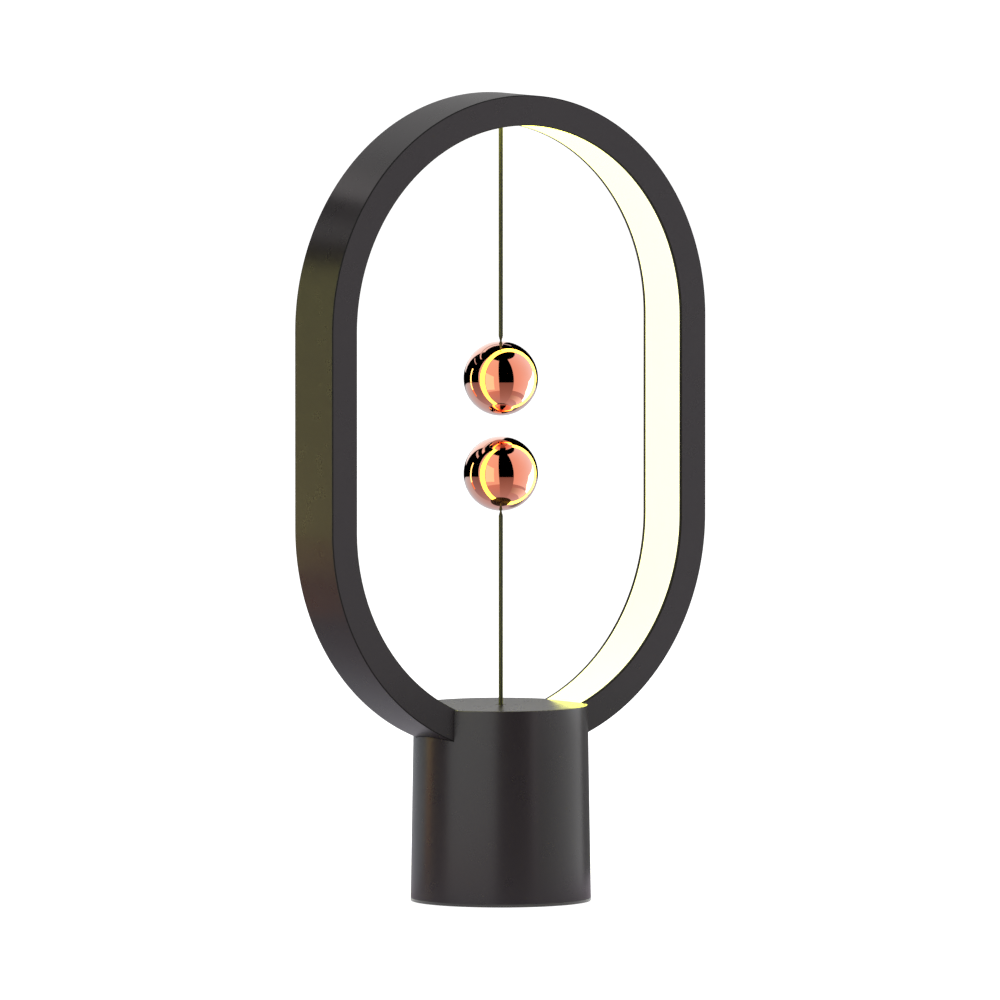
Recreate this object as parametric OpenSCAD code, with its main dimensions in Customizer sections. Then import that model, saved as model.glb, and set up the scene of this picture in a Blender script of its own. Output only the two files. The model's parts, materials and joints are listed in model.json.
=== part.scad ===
// Magnetic balance lamp: an upright oval light frame on a round base, and two magnetic balls on
// strings that hold each other in mid air. Lifting the lower ball to the upper one pulls the
// switch in the base; pulling it away lets the switch spring back.
// Millimetres, +Z up, origin at the middle of the foot, front face towards -Y.

/* [Frame] */
// Outer radius of the frame's two round ends
frame_radius = 71; // [66:0.5:80]
// Length of the frame's straight sides
frame_straight = 61.4; // [50:0.2:80]
// Width of the frame's face, from its outer to its inner edge
frame_band = 9.4; // [8.8:0.1:11]
// Depth of the frame, front to back
frame_depth = 20.1; // [18:0.1:21]
// Wall of the frame's outer web
frame_web = 1.6; // [1.2:0.1:2]
// Thickness of the frame's front and back cheeks
frame_cheek = 1; // [0.8:0.1:1.4]
// How far the frame's lowest point lies below the top of the base
frame_sink = 14.2; // [12:0.1:16]

/* [Light] */
// Thickness of the diffuser
diffuser_t = 1.5; // [1:0.1:2]
// How far the diffuser lies back from the frame's inner edge
diffuser_recess = 0.3; // [0.2:0.1:0.8]
// Width of the flexible light strip
strip_w = 8; // [6:0.5:10]
// Distance between the light emitters
led_pitch = 10; // [8:0.5:15]

/* [Balls] */
// Diameter of each ball
ball_d = 23; // [21:0.5:26]
// Gap between the two balls while the magnets hold them
ball_gap = 6.5; // [4:0.5:10]
// Length of the lower string between the base and the lower ball
lower_string_len = 60.1; // [50:0.1:68]
// Diameter of the strings
string_d = 1.2; // [0.8:0.1:1.4]
// Diameter of the magnet in each ball
magnet_d = 10; // [8:0.5:11]
// Height of the magnet in each ball
magnet_h = 6; // [4:0.5:7]
// Wall left between a magnet and the pole of its ball
magnet_skin = 2; // [1.6:0.1:2.4]
// Diameter of the bead at the top of the upper string
bead_d = 1.8; // [1.6:0.1:2]

/* [Base] */
// Height of the base, the foot pad included
base_h = 60.8; // [58:0.2:70]
// Diameter of the base at its top
base_top_d = 53.8; // [53:0.1:58]
// Diameter of the base at its bottom
base_bottom_d = 55.8; // [55:0.1:60]
// Wall of the base shell
base_wall = 2.2; // [1.8:0.1:2.4]
// Thickness of the lid
lid_t = 2.6; // [2:0.1:3.2]
// Wall of the shell's rim round the lid
lid_rim = 0.8; // [0.6:0.1:1.2]
// Thickness of the bottom cover
cover_t = 2.4; // [2.2:0.1:3]
// How far the foot pad stands out below the shell
foot_proud = 0.2; // [0.2:0.1:1]
// Width of the bottom cover left round the foot pad
foot_margin = 2.3; // [1.8:0.1:4]
// Height of the ballast disc
ballast_h = 6; // [4:0.5:7]

/* [Switch] */
// Diameter of the plunger's rod
plunger_d = 4; // [3.8:0.1:4.6]
// Travel of the plunger between off and on
plunger_travel = 2; // [1:0.1:2.5]
// Diameter of the contact bridge
bridge_d = 13; // [12:0.5:15]
// Length of the return spring while the lamp is on
spring_len = 8.5; // [7:0.5:10]
// Diameter of the return spring's wire
spring_wire_d = 0.6; // [0.4:0.1:0.7]
// Turns of the return spring
spring_turns = 6; // [4:1:7]

/* [Circuit] */
// Distance from the saddle down to the circuit board
board_drop = 18; // [17:0.1:19]
// Thickness of the circuit board
board_t = 1.6; // [1:0.1:2]
// Width of the socket for the supply lead
socket_w = 9; // [8:0.1:10]
// Height of the socket for the supply lead
socket_h = 3.3; // [3:0.1:3.8]
// Length of the socket for the supply lead
socket_len = 7.4; // [6:0.1:8]
// Space round the socket in the shell's port
port_room = 1.9; // [1.5:0.1:2.2]
// Diameter of the two wires to the light strip
lead_d = 1.2; // [0.8:0.1:1.4]

/* [Hidden] */
$fn = 96;

// Clearances
fit_gap = 0.1;      // between fixed pieces that slot together
screw_gap = 0.05;   // round a screw in its own thread
run_gap = 0.1;      // round the plunger and the bead
end_gap = 0.3;      // before the end of a travel, and in front of the socket
hole_room = 0.3;    // round a leg, a wire or the guide in its hole
past = 1;           // how far a cut runs past the solid it cuts

// Finishes
charcoal = "#403d3e";
rose_gold = "#d98a6c";
steel = "#b4b6b8";
brass = "#c9a24a";
board_green = "#2f5d3a";

// Frame
ring_bottom_z = base_h - frame_sink;
low_z = ring_bottom_z + frame_radius;
high_z = low_z + frame_straight;
ring_inner_r = frame_radius - frame_band;
web_inner_r = frame_radius - frame_web;
channel_w = frame_depth - 2 * frame_cheek;
slot_r = frame_radius + fit_gap;
slot_w = frame_depth + 2 * fit_gap;

// Light
diffuser_r = ring_inner_r + diffuser_recess;
diffuser_tuck = 5.4;
diffuser_gap_angle = asin((base_top_d / 2 - diffuser_tuck) / diffuser_r);
strip_t = 0.3;
strip_r = web_inner_r - strip_t;
strip_gap_angle = 13.5;
led_size = [0.8, 3.5, 2.8];
led_seat_r = chord_r(strip_r, led_size[2] / 2);
leds_on_top = 2 * round(PI * strip_r / 2 / led_pitch);
leds_on_side = round(frame_straight / led_pitch);
leds_on_foot = round(PI * strip_r * (90 - strip_gap_angle) / 180 / led_pitch);

// String anchor and the pivot of the upper ball
pivot_above_diffuser = 0.6;
pivot_z = high_z + diffuser_r + pivot_above_diffuser;
bead_r = bead_d / 2;
string_r = string_d / 2;
anchor_r = 2.5;
anchor_lift = 0.5;
anchor_spigot_r = 1.5;
anchor_spigot_len = 0.9;
anchor_seat = 0.4;
mouth_room = 0.8;
mouth_r = anchor_r + mouth_room;

// Balls, measured from each ball's middle towards its string
ball_r = ball_d / 2;
lower_z = base_h + lower_string_len + ball_r;
upper_z = lower_z + ball_d + ball_gap;
magnet_bottom = magnet_skin - ball_r;
magnet_top = magnet_bottom + magnet_h;
cap_r = magnet_d / 2;
knot_bulge = 0.5;
knot_r = string_r + knot_bulge;
string_room = 0.15;
string_bore_r = string_r + string_room;
knot_depth = 5;
knot_shoulder = ball_r - knot_depth;
knot_z = knot_shoulder - knot_r - screw_gap;

// Base heights, from the top down
lid_z = base_h - lid_t;
ledge_h = 2.8;
ledge_z = lid_z - ledge_h;
ledge_w = 1.85;
ledge_inner_r = base_top_d / 2 - base_wall - ledge_w;
lid_r = base_top_d / 2 - lid_rim - fit_gap;
saddle_top_z = ledge_z - 2 * fit_gap;
saddle_floor = 10.6;
saddle_z = ring_bottom_z - saddle_floor;
inner_r = min(base_top_d, base_bottom_d) / 2 - base_wall;
saddle_room = 0.25;
saddle_r = inner_r - saddle_room;
guide_flange_t = 2;
guide_z = saddle_z - guide_flange_t;
board_top_z = saddle_z - board_drop;
board_z = board_top_z - board_t;
board_room = 0.6;
board_r = inner_r - board_room;

// Base heights, from the foot up
cover_z = foot_proud;
cover_top_z = cover_z + cover_t;
foot_sunk = 0.7;
foot_t = foot_proud + foot_sunk;
foot_r = base_bottom_d / 2 - base_wall - foot_margin;
ballast_room = 1.5;
ballast_r = inner_r - ballast_room;

// Screws: thread radius, head radius and head height
m2 = [1, 1.9, 1.3];
m25 = [1.25, 2.35, 1.2];
m3 = [1.5, 2.75, 2];
head_room = 0.25;

// Legs of the saddle, which carry the bottom cover
leg_angles = [30, 150, 270];
leg_r = 3.5;
leg_inset = 1.6;
leg_at = inner_r - leg_r - leg_inset;
leg_hole_r = leg_r + hole_room;
leg_screw_len = 10;

// Posts of the saddle, which carry the circuit board
post_angles = [215, 325];
post_r = 2.75;
post_inset = 8;
post_at = board_r - post_inset;
post_hole_len = 8;
post_screw_len = 7;

// Posts of the lid
lid_post_angles = [51, 129, 231, 309];
lid_post_r = 2.5;
lid_post_inset = 2.7;
lid_post_at = inner_r - lid_post_r - lid_post_inset;
lid_post_depth = 5;
lid_post_z = saddle_top_z - lid_post_depth;
lid_post_floor = 6;
lid_screw_seat_z = lid_post_z - lid_post_floor;
lid_screw_len = 11.5;

// Radial screws that hold the frame on the saddle, and their nuts
frame_screw_angle = 9.7;
frame_screw_floor = 3.6;
frame_screw_seat_r = frame_radius + frame_screw_floor;
frame_nut_r = 3.2;
frame_nut_h = 2.4;
frame_nut_seat_r = chord_r(web_inner_r, frame_nut_r);
screw_end = 0.6;
frame_screw_len = frame_screw_seat_r - frame_nut_seat_r + frame_nut_h + screw_end;

// Switch
plunger_r = plunger_d / 2;
guide_bore_r = plunger_r + run_gap;
guide_wall = 1.9;
guide_r = guide_bore_r + guide_wall;
guide_flange_w = 4.5;
guide_flange_r = guide_r + guide_flange_w;
guide_screw_out = 2.2;
guide_screw_at = guide_r + guide_screw_out;
guide_screw_len = 7;
eyelet_flange_t = 0.5;
eyelet_flange_w = 1;
eyelet_wall = 1;
eyelet_r = string_r + eyelet_wall;
guide_top_z = lid_z - eyelet_flange_t - end_gap;
plunger_top_z = guide_top_z - plunger_travel - end_gap;
plunger_shoulder_z = plunger_top_z - knot_depth;
plunger_knot_z = plunger_shoulder_z - knot_r - screw_gap;
bridge_t = 0.6;
bridge_top_z = guide_z - spring_len;
bridge_z = bridge_top_z - bridge_t;
bridge_r = bridge_d / 2;
collar_t = 1.5;
collar_w = 2.5;
collar_r = plunger_r + collar_w;
collar_z = bridge_z - collar_t;
spring_seat = 0.1;
spring_room = 0.7;
spring_r = plunger_r + spring_room + spring_wire_d / 2;
leaf_t = 0.5;
leaf_w = 3;
leaf_reach = 1.5;
leaf_stand = 2.6;
leaf_z = bridge_top_z + fit_gap;

// Circuit
socket_z = board_top_z + socket_h / 2;
socket_wall = 0.35;
lead_r = lead_d / 2;
lead_x = web_inner_r * sin(strip_gap_angle + 1.3);
lead_y = 2;
chip_size = [5, 6, 1.5];
inductor_size = [6, 6, 3];
can_r = 2.5;
can_h = 5.4;
parts_inset = 9;
parts_at = board_r - parts_inset;
lead_top_z = low_z - sqrt(pow(web_inner_r, 2) - pow(lead_x - lead_r, 2)) - screw_gap;

// Radius at which a flat piece of that half width clears the inside of a round wall of radius r
function chord_r(r, half) = sqrt(pow(r, 2) - pow(half, 2)) - 0.02;

// Radius of the shell's outside and inside at a height
function shell_r(z) = base_bottom_d / 2 + (base_top_d - base_bottom_d) / 2 * z / base_h;
function shell_inner_r(z) = shell_r(z) - base_wall;
socket_mouth_y = shell_inner_r(socket_z) - end_gap;

// The oval outline of radius r round the frame's two centres
module oval(r) {
    for (z = [low_z, high_z])
        translate([0, z]) circle(r = r, $fn = 180);
    translate([-r, low_z]) square([2 * r, frame_straight]);
}

// An upright oval slab of radius r, as wide as w front to back
module oval_slab(r, w) {
    rotate([90, 0, 0]) linear_extrude(height = w, center = true) oval(r);
}

// An oval band between two radii
module oval_band(outer_r, inner_r, w) {
    difference() {
        oval_slab(outer_r, w);
        oval_slab(inner_r, w + 2 * past);
    }
}

// The wedge below the lower centre that opens a band at its foot
module foot_wedge(half_angle, w) {
    reach = frame_radius + past;
    half = reach * tan(half_angle);
    rotate([90, 0, 0]) linear_extrude(height = w, center = true)
        polygon([[0, low_z], [-half, low_z - reach], [half, low_z - reach]]);
}

// Places its child on a radius of the oval: angle 0 is +X, 90 is up
module on_radius(centre_z, angle, r) {
    translate([0, 0, centre_z]) rotate([0, -angle, 0]) translate([r, 0, 0]) children();
}

// A straight round bore or bar between two heights
module bar(r, z0, z1) {
    translate([0, 0, z0]) cylinder(r = r, h = z1 - z0);
}

// A screw pointing up, with its head below z = 0; size holds its thread, head and head height
module pan_screw(size, len) {
    bar(size[0], 0, len);
    bar(size[1], -size[2], 0);
}

// A countersunk screw pointing up, with the face of its head at z = 0
module countersunk_screw(size, len) {
    cylinder(r1 = size[1], r2 = size[0], h = size[2]);
    bar(size[0], size[2], len);
}

// Places its child at a radius from the middle, at each angle
module around(angles, r) {
    for (a = angles)
        rotate([0, 0, a]) translate([r, 0, 0]) children();
}

module at_legs() {
    around(leg_angles, leg_at) children();
}

module at_posts() {
    around(post_angles, post_at) children();
}

module at_lid_posts() {
    around(lid_post_angles, lid_post_at) children();
}

module at_guide_screws() {
    around([90, 270], guide_screw_at) children();
}

module at_frame_screws(r) {
    for (side = [-1, 1])
        on_radius(low_z, -90 + side * frame_screw_angle, r) rotate([0, -90, 0]) children();
}

module at_leads() {
    for (side = [-1, 1])
        translate([lead_x, side * lead_y, 0]) children();
}

// A rounded slot through the shell's back wall, grown by room on every side of the socket
module port_slot(room, y0, y1) {
    half_h = socket_h / 2 + room;
    half_w = socket_w / 2 + room - half_h;
    translate([0, y0, socket_z]) rotate([-90, 0, 0]) {
        for (side = [-1, 1])
            translate([side * half_w, 0, 0]) cylinder(r = half_h, h = y1 - y0);
        translate([-half_w, -half_h, 0]) cube([2 * half_w, 2 * half_h, y1 - y0]);
    }
}

// ---- Frame and light ----

module frame_channel() {
    color(charcoal) difference() {
        oval_band(frame_radius, ring_inner_r, frame_depth);
        oval_band(web_inner_r, ring_inner_r - past, channel_w);
        bar(guide_r + hole_room, ring_bottom_z - past, low_z - ring_inner_r);
        at_frame_screws(frame_radius + past) bar(m3[0] + fit_gap, 0, frame_web + 2 * past);
        at_leads() bar(lead_r + hole_room, ring_bottom_z, lead_top_z);
        bar(anchor_spigot_r + screw_gap, high_z, high_z + web_inner_r + anchor_spigot_len + screw_gap);
    }
}

module diffuser() {
    w = channel_w - 2 * fit_gap;
    color("#fffff0") difference() {
        oval_band(diffuser_r + diffuser_t, diffuser_r, w);
        foot_wedge(diffuser_gap_angle, w + 2 * past);
        bar(mouth_r, high_z, high_z + frame_radius);
    }
}

module led_strip() {
    color("#f2efe6") difference() {
        oval_band(web_inner_r, strip_r, strip_w);
        foot_wedge(strip_gap_angle, strip_w + 2 * past);
        bar(anchor_r + 2 * fit_gap, high_z, high_z + frame_radius);
    }
}

module led() {
    translate([-led_size[0], -led_size[1] / 2, -led_size[2] / 2]) cube(led_size);
}

module leds() {
    foot_sweep = 90 - strip_gap_angle;
    color("#ffe9a8") {
        for (i = [0 : leds_on_top - 1])
            on_radius(high_z, (i + 0.5) * 180 / leds_on_top, led_seat_r) led();
        for (flip = [0, 1]) mirror([flip, 0, 0]) {
            for (i = [0 : leds_on_side - 1])
                on_radius(low_z + (i + 0.5) * frame_straight / leds_on_side, 0, led_seat_r) led();
            for (i = [0 : leds_on_foot - 1])
                on_radius(low_z, -(i + 0.5) * foot_sweep / leds_on_foot, led_seat_r) led();
        }
    }
}

module string_anchor() {
    top_z = high_z + web_inner_r - anchor_seat;
    color(brass) difference() {
        union() {
            bar(anchor_r, pivot_z + anchor_lift, top_z);
            bar(anchor_spigot_r, top_z - past, high_z + web_inner_r + anchor_spigot_len);
        }
        translate([0, 0, pivot_z]) sphere(r = bead_r + run_gap);
    }
}

// ---- Balls and strings ----

// Places a ball's pieces: the string leaves the upper ball at its top and the lower at its foot
module ball_place(upper) {
    translate([0, 0, upper ? upper_z : lower_z]) mirror([0, 0, upper ? 0 : 1]) children();
}

module ball(upper) {
    color(rose_gold) ball_place(upper) difference() {
        sphere(r = ball_r, $fn = 120);
        bar(cap_r + fit_gap, magnet_bottom, ball_r + past);
    }
}

module ball_cap(upper) {
    color(rose_gold) ball_place(upper) difference() {
        intersection() {
            sphere(r = ball_r, $fn = 120);
            bar(cap_r, magnet_top, ball_r + past);
        }
        bar(string_bore_r, magnet_top, ball_r + past);
        bar(knot_r + fit_gap, magnet_top - past, knot_shoulder);
    }
}

module magnet(upper) {
    color(steel) ball_place(upper) bar(cap_r, magnet_bottom, magnet_top);
}

module upper_string_bead() {
    color("#4a4a20") translate([0, 0, pivot_z]) sphere(r = bead_r);
}

module upper_string() {
    color("#4a4a20") difference() {
        union() {
            bar(string_r, upper_z + knot_z, pivot_z);
            translate([0, 0, upper_z + knot_z]) sphere(r = knot_r);
        }
        translate([0, 0, pivot_z]) sphere(r = bead_r + screw_gap);
    }
}

module lower_string() {
    color("#4a4a20") {
        bar(string_r, plunger_knot_z, lower_z - knot_z);
        for (z = [plunger_knot_z, lower_z - knot_z])
            translate([0, 0, z]) sphere(r = knot_r);
    }
}

// ---- Base ----

module base_shell() {
    color(charcoal) difference() {
        translate([0, 0, foot_proud])
            cylinder(r1 = shell_r(foot_proud), r2 = base_top_d / 2, h = base_h - foot_proud);
        cylinder(r1 = shell_inner_r(0), r2 = shell_inner_r(ledge_z), h = ledge_z);
        bar(ledge_inner_r, foot_proud, base_h + past);
        bar(lid_r + fit_gap, lid_z, base_h + past);
        oval_slab(slot_r, slot_w);
        port_slot(port_room, 0, base_bottom_d);
    }
}

module base_lid() {
    color(charcoal) difference() {
        union() {
            bar(lid_r, lid_z, base_h);
            at_lid_posts() bar(lid_post_r, lid_post_z, lid_z + past);
        }
        oval_band(slot_r, ring_inner_r - fit_gap, slot_w);
        at_lid_posts() bar(m25[0] + screw_gap, lid_post_z - past, lid_z);
        bar(eyelet_r + screw_gap, lid_z - past, base_h + past);
    }
}

module string_eyelet() {
    color("#2b2b2c") difference() {
        union() {
            bar(eyelet_r, lid_z - eyelet_flange_t, base_h);
            bar(eyelet_r + eyelet_flange_w, lid_z - eyelet_flange_t, lid_z);
        }
        bar(string_r + hole_room, lid_z - past, base_h + past);
    }
}

module lid_screws() {
    color(steel) at_lid_posts() translate([0, 0, lid_screw_seat_z]) pan_screw(m25, lid_screw_len);
}

module frame_saddle() {
    color("#2b2b2c") difference() {
        union() {
            bar(saddle_r, saddle_z, saddle_top_z);
            at_legs() bar(leg_r, cover_top_z, saddle_z + past);
            at_posts() bar(post_r, board_top_z, saddle_z + past);
        }
        oval_slab(slot_r, slot_w);
        bar(guide_r + fit_gap, saddle_z - past, low_z);
        at_guide_screws() bar(m2[0] + screw_gap, saddle_z - past, guide_z + guide_screw_len + past);
        at_frame_screws(slot_r + past) mirror([0, 0, 1])
            bar(m3[0] + fit_gap, -2 * past, saddle_floor);
        at_frame_screws(frame_screw_seat_r) mirror([0, 0, 1])
            bar(m3[1] + head_room, 0, 2 * saddle_floor);
        at_lid_posts() {
            bar(lid_post_r + fit_gap, lid_post_z - fit_gap, saddle_top_z + past);
            bar(m25[0] + fit_gap, lid_screw_seat_z - past, lid_post_z);
            bar(m25[1] + head_room, saddle_z - past, lid_screw_seat_z);
        }
        at_leads() bar(lead_r + hole_room, saddle_z - past, low_z);
        at_legs() bar(m25[0] + screw_gap, cover_top_z - past, cover_top_z + leg_screw_len);
        at_posts() bar(m2[0] + screw_gap, board_top_z - past, board_top_z + post_hole_len);
    }
}

module frame_screws() {
    color(steel) at_frame_screws(frame_screw_seat_r) pan_screw(m3, frame_screw_len);
}

module frame_nuts() {
    color(steel) at_frame_screws(frame_nut_seat_r) difference() {
        cylinder(r = frame_nut_r, h = frame_nut_h, $fn = 6);
        bar(m3[0] + screw_gap, -past, frame_nut_h + past);
    }
}

module bottom_cover() {
    color("#2b2b2c") difference() {
        bar(shell_inner_r(cover_top_z) - fit_gap, cover_z, cover_top_z);
        bar(foot_r + fit_gap, -past, foot_t);
        at_legs() translate([0, 0, foot_t]) {
            bar(m25[0] + fit_gap, -past, cover_t);
            translate([0, 0, -fit_gap])
                cylinder(r1 = m25[1] + 2 * fit_gap, r2 = m25[0] + fit_gap, h = m25[2] + fit_gap);
        }
    }
}

module bottom_screws() {
    color(steel) at_legs() translate([0, 0, foot_t]) countersunk_screw(m25, leg_screw_len);
}

module foot_pad() {
    color("#1d1d1d") bar(foot_r, 0, foot_t);
}

module ballast() {
    color(steel) difference() {
        bar(ballast_r, cover_top_z, cover_top_z + ballast_h);
        at_legs() bar(leg_hole_r, cover_top_z - past, cover_top_z + ballast_h + past);
    }
}

// ---- Switch ----

module switch_guide() {
    color("#d9d4c8") difference() {
        union() {
            bar(guide_r, guide_z, guide_top_z);
            bar(guide_flange_r, guide_z, saddle_z);
        }
        bar(guide_bore_r, guide_z - past, guide_top_z + past);
        at_guide_screws() bar(m2[0] + fit_gap, guide_z - past, saddle_z + past);
    }
}

module guide_screws() {
    color(steel) at_guide_screws() translate([0, 0, guide_z]) pan_screw(m2, guide_screw_len);
}

module switch_plunger() {
    color("#e8e4da") difference() {
        union() {
            bar(plunger_r, collar_z, plunger_top_z);
            bar(collar_r, collar_z, bridge_z);
        }
        bar(string_bore_r, collar_z, plunger_top_z + past);
        bar(knot_r + fit_gap, collar_z - past, plunger_shoulder_z);
    }
}

module contact_bridge() {
    color(brass) difference() {
        bar(bridge_r, bridge_z, bridge_top_z);
        bar(plunger_r + screw_gap, bridge_z - past, bridge_top_z + past);
    }
}

// The spring's wire is a ring of points carried up a helix, one ring for each step
module return_spring() {
    steps = 12;
    sides = 6;
    rings = spring_turns * steps;
    wire_r = spring_wire_d / 2;
    low = bridge_top_z + spring_seat + wire_r;
    rise = spring_len - 2 * (spring_seat + wire_r);
    points = [
        for (i = [0 : rings], j = [0 : sides - 1])
            let (turn = 360 * i / steps, around = 360 * j / sides, r = spring_r + wire_r * cos(around))
            [r * cos(turn), r * sin(turn), low + rise * i / rings + wire_r * sin(around)]
    ];
    walls = [
        for (i = [0 : rings - 1], j = [0 : sides - 1])
            let (a = i * sides + j, b = i * sides + (j + 1) % sides)
            each [[a, b, b + sides], [a, b + sides, a + sides]]
    ];
    ends = [
        for (j = [1 : sides - 2])
            each [[0, j + 1, j], [rings * sides, rings * sides + j, rings * sides + j + 1]]
    ];
    color(steel) polyhedron(points = points, faces = concat(walls, ends));
}

module contact_leaves() {
    inner_x = bridge_r - leaf_reach;
    outer_x = bridge_r + leaf_stand;
    color(brass) for (flip = [0, 1]) mirror([flip, 0, 0]) {
        translate([inner_x, -leaf_w / 2, leaf_z]) cube([outer_x - inner_x, leaf_w, leaf_t]);
        translate([outer_x - leaf_t, -leaf_w / 2, board_top_z])
            cube([leaf_t, leaf_w, leaf_z - board_top_z + leaf_t]);
    }
}

// ---- Circuit ----

module driver_board() {
    color(board_green) difference() {
        bar(board_r, board_z, board_top_z);
        at_legs() bar(leg_hole_r, board_z - past, board_top_z + past);
        at_posts() bar(m2[0] + fit_gap, board_z - past, board_top_z + past);
    }
}

module board_screws() {
    color(steel) at_posts() translate([0, 0, board_z]) pan_screw(m2, board_t + post_screw_len);
}

// A block of that size standing on the board
module board_block(size) {
    translate([-size[0] / 2, -size[1] / 2, board_top_z]) cube(size);
}

module driver_chip() {
    color("#202224") around([180], parts_at) board_block(chip_size);
}

module inductor() {
    color("#3a3a3c") around([57], parts_at) board_block(inductor_size);
}

module capacitors() {
    color(steel) around([124, 242], parts_at) bar(can_r, board_top_z, board_top_z + can_h);
}

module usb_socket() {
    inner = [socket_w - 2 * socket_wall, socket_len, socket_h - 2 * socket_wall];
    color(steel) translate([-socket_w / 2, socket_mouth_y - socket_len, board_top_z]) difference() {
        cube([socket_w, socket_len, socket_h]);
        translate([socket_wall, past, socket_wall]) cube(inner);
    }
}

module led_leads() {
    color("#8c2f2a") at_leads() bar(lead_r, board_top_z, lead_top_z);
}

frame_channel();
diffuser();
led_strip();
leds();
string_anchor();
upper_string_bead();
upper_string();
ball(true);  // upper_ball
ball_cap(true);  // upper_ball_cap
magnet(true);  // upper_magnet
ball(false);  // lower_ball
ball_cap(false);  // lower_ball_cap
magnet(false);  // lower_magnet
lower_string();
string_eyelet();
base_shell();
base_lid();
lid_screws();
frame_saddle();
frame_screws();
frame_nuts();
switch_guide();
guide_screws();
switch_plunger();
contact_bridge();
return_spring();
contact_leaves();
driver_board();
board_screws();
driver_chip();
inductor();
capacitors();
usb_socket();
led_leads();
ballast();
bottom_cover();
bottom_screws();
foot_pad();
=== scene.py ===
"""Dresses the magnetic balance lamp: its visible pieces, their finishes and the studio round it.

It is laid out as an add-on and run as a script. Lengths are metres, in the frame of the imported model.
"""

import json
import math

import bmesh
import bpy
import numpy as np
from bpy.props import FloatProperty, FloatVectorProperty, PointerProperty
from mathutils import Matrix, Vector


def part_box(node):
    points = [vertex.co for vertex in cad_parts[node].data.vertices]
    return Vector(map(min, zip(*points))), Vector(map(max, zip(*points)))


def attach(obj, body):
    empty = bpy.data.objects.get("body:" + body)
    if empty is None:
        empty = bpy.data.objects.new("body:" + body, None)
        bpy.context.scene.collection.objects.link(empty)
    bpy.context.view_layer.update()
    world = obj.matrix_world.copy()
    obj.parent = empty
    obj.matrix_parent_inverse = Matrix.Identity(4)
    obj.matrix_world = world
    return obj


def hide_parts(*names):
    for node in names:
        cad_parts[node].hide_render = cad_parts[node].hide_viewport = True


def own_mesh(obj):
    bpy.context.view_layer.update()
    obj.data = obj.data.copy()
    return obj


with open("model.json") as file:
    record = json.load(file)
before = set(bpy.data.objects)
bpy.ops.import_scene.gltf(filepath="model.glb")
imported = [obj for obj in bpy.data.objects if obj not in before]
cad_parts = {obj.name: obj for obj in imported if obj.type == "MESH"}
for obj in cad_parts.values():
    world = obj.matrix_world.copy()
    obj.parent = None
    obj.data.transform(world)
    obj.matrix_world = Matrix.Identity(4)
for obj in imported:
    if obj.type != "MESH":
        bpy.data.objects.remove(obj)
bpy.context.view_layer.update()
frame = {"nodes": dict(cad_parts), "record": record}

bl_info = {
    "name": "Magnetic Balance Lamp",
    "version": (1, 0, 0),
    "blender": (4, 5, 0),
    "location": "View3D > Sidebar > Lamp",
    "description": "Dresses the balance lamp's packed model with finished surfaces and a studio",
    "category": "Object",
}

MM = 0.001

# The range that nearly all of a noise pattern lies in
NOISE_LOW = 0.3
NOISE_HIGH = 0.7


def low(node):
    """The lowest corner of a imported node."""
    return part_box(node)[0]


def high(node):
    """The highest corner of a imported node."""
    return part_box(node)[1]


# ---- Sizes, finishes and studio values that a user would change ----


def length(name, description, default):
    """A length that a user can change."""
    return FloatProperty(name=name, description=description, default=default, unit="LENGTH")


class LampSizes(bpy.types.PropertyGroup):
    """Real sizes of the dressed pieces."""

    frame_radius: length("Frame radius", "Outer radius of the frame's round ends", high("frame_channel").x)
    frame_depth: length(
        "Frame depth", "Depth of the frame, front to back",
        high("frame_channel").y - low("frame_channel").y)
    frame_band: length("Frame face", "Width of the frame's face, from its outer to its inner edge", 9.4 * MM)
    frame_web: length("Frame web", "Wall of the frame's outer web", 1.6 * MM)
    frame_cheek: length("Frame cheek", "Wall of the frame's front and back cheeks", 1.0 * MM)
    edge: length("Edge", "Fillet on the frame's edges", 0.3 * MM)
    base_edge: length("Base edge", "Fillet round the foot of the casing", 0.12 * MM)
    lip_edge: length("Lip edge", "Fillet on the frame's edges beside the diffuser", 0.06 * MM)
    ball_radius: length("Ball radius", "Radius of each ball", high("upper_ball").x)
    cap_radius: length(
        "Cap radius", "Radius of the cap that closes each ball at its string",
        high("upper_ball_cap").x)
    string_radius: length("String radius", "Radius of the braided strings", 0.68 * MM)
    neck_radius: length("Neck radius", "Radius of a string where it enters its ball", 0.3 * MM)
    neck_length: length("Neck length", "Length over which a string narrows to its neck", 1.8 * MM)
    lid_radius: length("Lid radius", "Radius of the lid", high("base_lid").y)
    lid_thickness: length("Lid thickness", "Thickness of the lid", 2.6 * MM)
    lid_rim: length("Lid rim", "Wall of the casing's rim round the lid", 0.8 * MM)
    base_wall: length("Base wall", "Wall of the casing", 2.2 * MM)


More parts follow.
